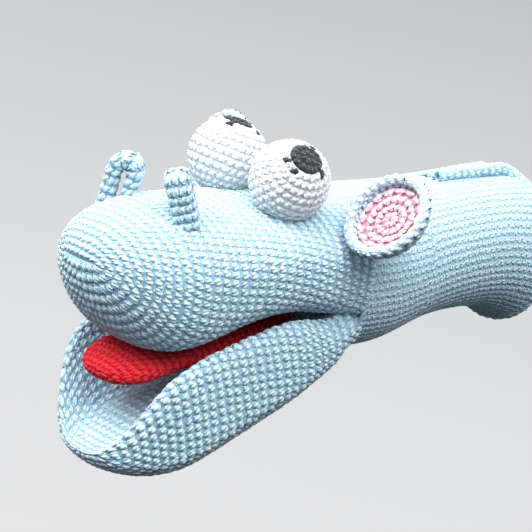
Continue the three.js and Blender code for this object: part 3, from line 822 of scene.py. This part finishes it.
for side in ("left", "right"):
    eye(side)

# %% [markdown]
# ## Ears
#
# An ear is a shallow cup: blue outside, a pink disc sewn into it, and an edging of slanted
# stitches round the rim. Its place is read from the edging and the way it faces from the
# cup, whose points spread least along that direction.


# %% Ears
def plane_of(node):
    """The middle of a node's points and the direction in which they spread least."""
    points = np.array([v.co for v in frame["nodes"][node].data.vertices]) / mm
    middle = points.mean(0)
    axes = np.linalg.svd(points - middle, full_matrices=False)[2]
    return middle, axes[2]


def disc_rings(centre, facing, profile, count=256):
    """Circles about the facing direction with the profile's radii and heights."""
    side = unit(np.cross(facing, [1.0, 0.3, 0.0]))
    other = np.cross(facing, side)
    t = np.linspace(0, 2 * math.pi, count, endpoint=False)[None, :, None]
    radius, height = (np.asarray(p, float)[:, None, None] for p in zip(*profile))
    return centre + height * facing + radius * (np.cos(t) * side + np.sin(t) * other)


def smooth_profile(points, count=40):
    """A denser version of a profile given by a few (radius, height) points."""
    points = np.array(points, float)
    walked = np.concatenate([[0], np.cumsum(np.linalg.norm(np.diff(points, axis=0), axis=1))])
    dense = through(walked, points, np.linspace(0, walked[-1], count))
    dense[:, 0] = np.maximum(dense[:, 0], 0.4)
    return [tuple(p) for p in dense]


EAR_RADIUS = 20.0
EAR_SHIFT = {"left": (-0.3, -1.5, -2.7), "right": (-3.8, 1.2, 1.7)}
FORWARD = np.array([0, -0.8, 0.6])
# (radius, height) points of the cup's back, its inner wall and the lining's dish
BACK_PROFILE = (EAR_RADIUS - 0.6, 0.0), (EAR_RADIUS - 1.2, -3.0), (16.5, -6.0), (10.0, -8.6), (0.4, -9.2)
WALL_PROFILE = (18.4, 0.6), (16.6, -1.2), (15.0, -2.6)
DISH_PROFILE = (15.8, -1.4), (10.0, -2.2), (5.0, -2.4), (0.4, -2.2)


def ear(side):
    """The cup's back, its inner wall and the lining, as circles about the cup's own axis.
    The rim lies a little behind the edging's middle and is shifted by a given amount."""
    facing = plane_of(f"ear_{side}_cup")[1]
    if facing @ FORWARD < 0:
        facing = -facing
    rim = plane_of(f"ear_{side}_edging")[0] - 2.3 * facing + EAR_SHIFT[side]
    outside = disc_rings(rim, facing, smooth_profile(BACK_PROFILE))
    back = crocheted(f"ear_{side}_back", outside, SKY, gauge=(3.5, 4.0), sides=48, thick=1.2)
    inside = disc_rings(rim, facing, smooth_profile(WALL_PROFILE, 16))
    wall = crocheted(f"ear_{side}_wall", inside, SKY, gauge=(3.5, 5.4), sides=48, thick=0.8,
                     closed_end=False, outward=0.4, toward=facing)
    dish = disc_rings(rim, facing, smooth_profile(DISH_PROFILE))
    lining = crocheted(f"ear_{side}_lining", dish, ROSE, gauge=(3.1, 3.7), sides=48, thick=1.0,
                       outward=0.9, toward=facing)
    for piece in (*back, *wall, *lining):
        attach(piece, f"ear_{side}")
    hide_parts(f"ear_{side}_cup")
    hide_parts(f"ear_{side}_lining")
    return rim, facing, EAR_RADIUS


ears = {side: ear(side) for side in ("left", "right")}

# %% [markdown]
# ## Ropes: edgings and nostrils
#
# The edgings are ropes of slanted stitches, and a nostril is a thick strip bent into an
# arch. Both are a small section carried along a path, so one function makes their rings:
# at every place on the path the section lies across it, and its up direction is given.


# %% Sections carried along a path
def carried(path, section, up):
    """The section's (u, v) points placed across the path: u along the path's side
    direction, v along its own up direction."""
    along = unit(np.gradient(path, axis=0))
    side = unit(np.cross(along, up))
    lift = np.cross(side, along)
    return path[:, None] + section[None, :, :1] * side[:, None] + section[None, :, 1:] * lift[:, None]


def oval(a, b, count=256, square=1.0):
    """An oval of half sizes a and b; a square below 1 makes it boxier."""
    t = np.linspace(0, 2 * math.pi, count, endpoint=False)
    return np.stack([a * power(np.cos(t), square), b * power(np.sin(t), square)], axis=1)


def slanted(name, path, up, radius, pitch, material, fat=1.25):
    """A rope of loops over a plain cord: five rows of loops lie along the path, round the
    cord, and every other row is half a pitch further on."""
    base_rings = carried(path, oval(radius * 0.72, radius * 0.72), up)
    base = plain_cloth(name + "_cord", *cloth(base_rings, radius * 0.3, 16, 0.0, False), -0.8, material)
    step = np.linalg.norm(np.diff(path, axis=0), axis=1)
    walked = np.concatenate([[0], np.cumsum(step)])
    count = int(walked[-1] / pitch)
    places = (np.arange(count) + 0.5) * walked[-1] / count

    def at_places(values):
        """The values of the path's points, read at the loops' places."""
        return np.stack([np.interp(places, walked, values[:, k]) for k in range(3)], axis=1)

    at = at_places(path)
    along = unit(at_places(np.gradient(path, walked, axis=0)))
    side = unit(np.cross(along, at_places(np.broadcast_to(up, path.shape))))
    lift = np.cross(side, along)
    turn = np.linspace(0, 2 * math.pi, 5, endpoint=False)
    parts, used = [], 0
    for k, angle in enumerate(turn):
        out = math.cos(angle) * side + math.sin(angle) * lift
        across = np.cross(along, out)
        shift = (k % 2) * 0.5 * pitch
        made = place(SINGLE, at + radius * 0.62 * out + shift * along,
                     across * radius * 0.75, along * pitch * 0.62, out * fat * radius / 2.6)
        parts.append((made[0], shifted(made[1], used), made[2], made[3]))
        used += len(made[0])
    points, quads, yarn, height = (np.concatenate([p[k] for p in parts]) for k in range(4))
    work = mesh_object(name + "_loops", points, quads, {"yarn": yarn, "height": height}, material)
    return base, work


# %% Edging of the slit and the rim
def edging_path():
    """From the closed end of the slit along its left edge, round the rim and back."""
    y = np.linspace(-SLIT_LENGTH + 1, -7.0, 30)
    top = through(NECK[:, 0], NECK[:, 2], y)
    run = np.stack([slit_half(y) + 2.6, y, top + 0.9], axis=1)
    rim_top, rim_bottom, rim_wide, inset = 35.5, -34.5, 34.6, 2.4
    middle, half = (rim_top + rim_bottom) / 2, (rim_top - rim_bottom) / 2 - inset
    angle = np.radians(np.linspace(66, -90, 60))
    rim = np.stack([rim_wide * np.cos(angle), np.full(60, RIM_Y - inset),
                    middle + half * np.sin(angle)], axis=1)
    smooth = np.vstack([run, rim])
    for _ in range(6):
        smooth[1:-1] = (smooth[:-2] + 2 * smooth[1:-1] + smooth[2:]) / 4
    left = (smooth * [-1, 1, 1])[::-1]
    left[:, 2] -= 2.2 * ease(10, 30, left[:, 2])
    smooth[:, 2] += 0.8 * ease(10, 30, smooth[:, 2])
    return np.vstack([smooth, left[1:]])


route = edging_path()
outwards = unit(np.stack([route[:, 0], np.zeros(len(route)), route[:, 2] + 0.01], axis=1))
edging = slanted("sleeve_edging", route, outwards, 2.5, 3.9, SKY)
for piece in edging:
    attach(piece, "sleeve")
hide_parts("sleeve_edging")


# %% [markdown]
# The ear's edging doesn't go all the way round: the ear is sewn on along the side nearest
# the head, so the rope and the dark marks of painted shade between its loops stop there.
# They are cut by an oval a little larger than the head.

# %% Edging of each ear
EDGING_CLEAR, MARKS_CLEAR = 1.13, 1.2  # how much larger, as shares of the head


def clear_of_head(points, margin):
    """True where (x / a)^2 + (z / b)^2 > margin^2 for the head's half width a and half
    height b at the point's place along Y, with z from the head's middle."""
    wide, top, bottom = through(NECK[:, 0], NECK[:, 1:], np.maximum(points[:, 1], CORNER_Y)).T
    across, up = points[:, 0] / wide, (points[:, 2] - (top + bottom) / 2) / ((top - bottom) / 2)
    return across**2 + up**2 > margin**2


# small dark lobes of painted shade, for the shadowed slots between the edging's loops
MARK = joined([lobe((-0.75, -0.3, 0), (0.75, 0.3, 0), 0.55, 0.1, rings=3, flat=0.8)])
for side, (rim, facing, radius) in ears.items():
    circle = disc_rings(rim, facing, [(radius - 1.7, 1.2)], 97)[0]
    free = clear_of_head(circle, EDGING_CLEAR)
    first = int(np.argmax(free & ~np.roll(free, 1)))
    circle = np.roll(circle, -first, axis=0)[:free.sum()]
    made = slanted(f"ear_{side}_edging", circle, facing, 2.0, 4.3, PALE)
    # painted shade marks set in the slots round the rim, where the head doesn't cover them
    spots = disc_rings(rim, facing, [(radius + 0.1, 1.0)], 26)[0]
    spots = spots[clear_of_head(spots, MARKS_CLEAR)]
    out = unit(0.75 * unit(spots - rim) + 0.65 * facing)
    along = unit(np.cross(out, facing))
    points, quads, yarn, height = place(MARK, spots + 0.25 * out, np.cross(along, out) * 1.5,
                                        along * 2.0, out)
    slot_shade = mesh_object(f"ear_{side}_seam", points, quads, {"yarn": yarn, "height": height}, SLOT_SHADE)
    for piece in (*made, slot_shade):
        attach(piece, f"ear_{side}")
    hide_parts(f"ear_{side}_edging")


# %% Nostrils
def nostril(side):
    """An arch of thick crochet: up one leg, half round, down the other. Its plane and
    place are those of the part it stands for."""
    points = np.array([v.co for v in frame["nodes"][f"nostril_{side}"].data.vertices]) / mm
    sign = 1 if side == "left" else -1
    turn = math.radians(41) * -sign
    lean = math.radians(20 if side == "left" else 3)
    across = np.array([math.cos(turn), math.sin(turn), 0])
    normal = np.array([-math.sin(turn), math.cos(turn), 0])
    up = math.cos(lean) * np.array([0, 0, 1.0]) - math.sin(lean) * normal
    through_it = np.cross(up, across)
    middle = (points.min(0) + points.max(0)) / 2
    crown = points[np.argmax(points @ up)]
    top = crown @ up
    centre = middle + (top - middle @ up) * up
    gap, strand, band = 4.6, 7.2, 11.0
    height = 18.0
    legs = np.linspace(0, 1, 14)[:, None]
    bend = np.radians(np.linspace(180, 0, 22))[1:-1]
    head = centre - (strand / 2 + 1.2) * up
    left_leg = head - gap * across - (gap + height * (1 - legs)) * up
    arch = head + gap * np.cos(bend)[:, None] * across + (gap * np.sin(bend)[:, None] - gap) * up
    right_leg = head + gap * across - (gap + height * legs) * up
    path = np.vstack([left_leg, arch, right_leg])
    slant = 0.05 if side == "left" else 0.17
    path = path + slant * ((path - path[0]) @ up)[:, None] * across
    rings = carried(path, oval(strand / 2, band / 2, square=0.75), through_it)
    made = crocheted(f"nostril_{side}", rings, SKY, gauge=(3.4, 3.9), sides=32, thick=1.0, sunk=1.0,
                     closed_end=False)
    for piece in made:
        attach(piece, "head")
    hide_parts(f"nostril_{side}")
    return centre


nostrils = {side: nostril(side) for side in ("left", "right")}
print("nostril crowns", {k: np.round(v, 1).tolist() for k, v in nostrils.items()})

# %% [markdown]
# ## Stage, light and camera
#
# A plain pale floor well below the puppet, one broad soft light from the upper left and a
# weaker one nearer the front, and a long lens. The light is soft because hard shadows would
# make the stitches look like beads.

# %% Stage
def plain_material(name, colour):
    """An even matt colour."""
    material = bpy.data.materials.new(name)
    material.use_nodes = True
    inputs = material.node_tree.nodes["Principled BSDF"].inputs
    inputs["Base Color"].default_value = (*colour, 1)
    inputs["Roughness"].default_value = 0.9
    return material


bpy.ops.mesh.primitive_plane_add(size=24, location=(0, 0, -0.62))
floor = bpy.context.object
floor.name = "floor"
floor.data.materials.append(plain_material("pale_floor", (0.345, 0.33, 0.322)))

world = bpy.data.worlds.new("studio")
bpy.context.scene.world = world
world.use_nodes = True
sky = world.node_tree
direction = add_node(sky, "ShaderNodeTexCoord", output=0)
upward = add_node(sky, "ShaderNodeSeparateXYZ", {"Vector": direction}, 2)
strength = (upward + 0.35).clamped(0.05, 1.0)
seen = add_node(sky, "ShaderNodeLightPath")
strength = strength + seen * (0.72 - strength)
sky.links.new(strength.socket, sky.nodes["Background"].inputs["Strength"])
sky.nodes["Background"].inputs["Color"].default_value = (0.8, 0.91, 1.0, 1)
floor.visible_diffuse = False

# the camera's own directions, and the point it looks at
RIGHT = Vector((0.6108, 0.7802, 0.1351))
UP = Vector((-0.2730, 0.0474, 0.9609))
BACK = Vector((0.743, -0.624, 0.242))
TARGET = Vector((0, -0.1352, -0.0049))


def lamp(name, toward, power_w, distance=7.0, size=6.0):
    """A square lamp at a distance from the target, facing it."""
    data = bpy.data.lights.new(name, "AREA")
    data.size, data.energy = size, power_w
    made = bpy.data.objects.new(name, data)
    bpy.context.scene.collection.objects.link(made)
    direction = toward.normalized()
    made.location = TARGET + direction * distance
    made.rotation_mode = "QUATERNION"
    made.rotation_quaternion = direction.to_track_quat("Z", "Y")


lamp("key", -0.55 * RIGHT + 1.0 * UP + 0.4 * BACK, 800)
lamp("fill", 0.4 * RIGHT + 0.7 * UP + 0.85 * BACK, 640)

# %% Camera
camera_data = bpy.data.cameras.new("camera")
camera = bpy.data.objects.new("camera", camera_data)
bpy.context.scene.collection.objects.link(camera)
camera_data.sensor_width, camera_data.lens = 36, 233.8
facing_target = Matrix((RIGHT, UP, BACK)).transposed().to_4x4()
camera.matrix_world = Matrix.Translation(TARGET + BACK * 1.5) @ facing_target
camera_data.clip_start, camera_data.clip_end = 0.05, 50
bpy.context.scene.camera = camera
bpy.context.scene.view_settings.view_transform = "Standard"
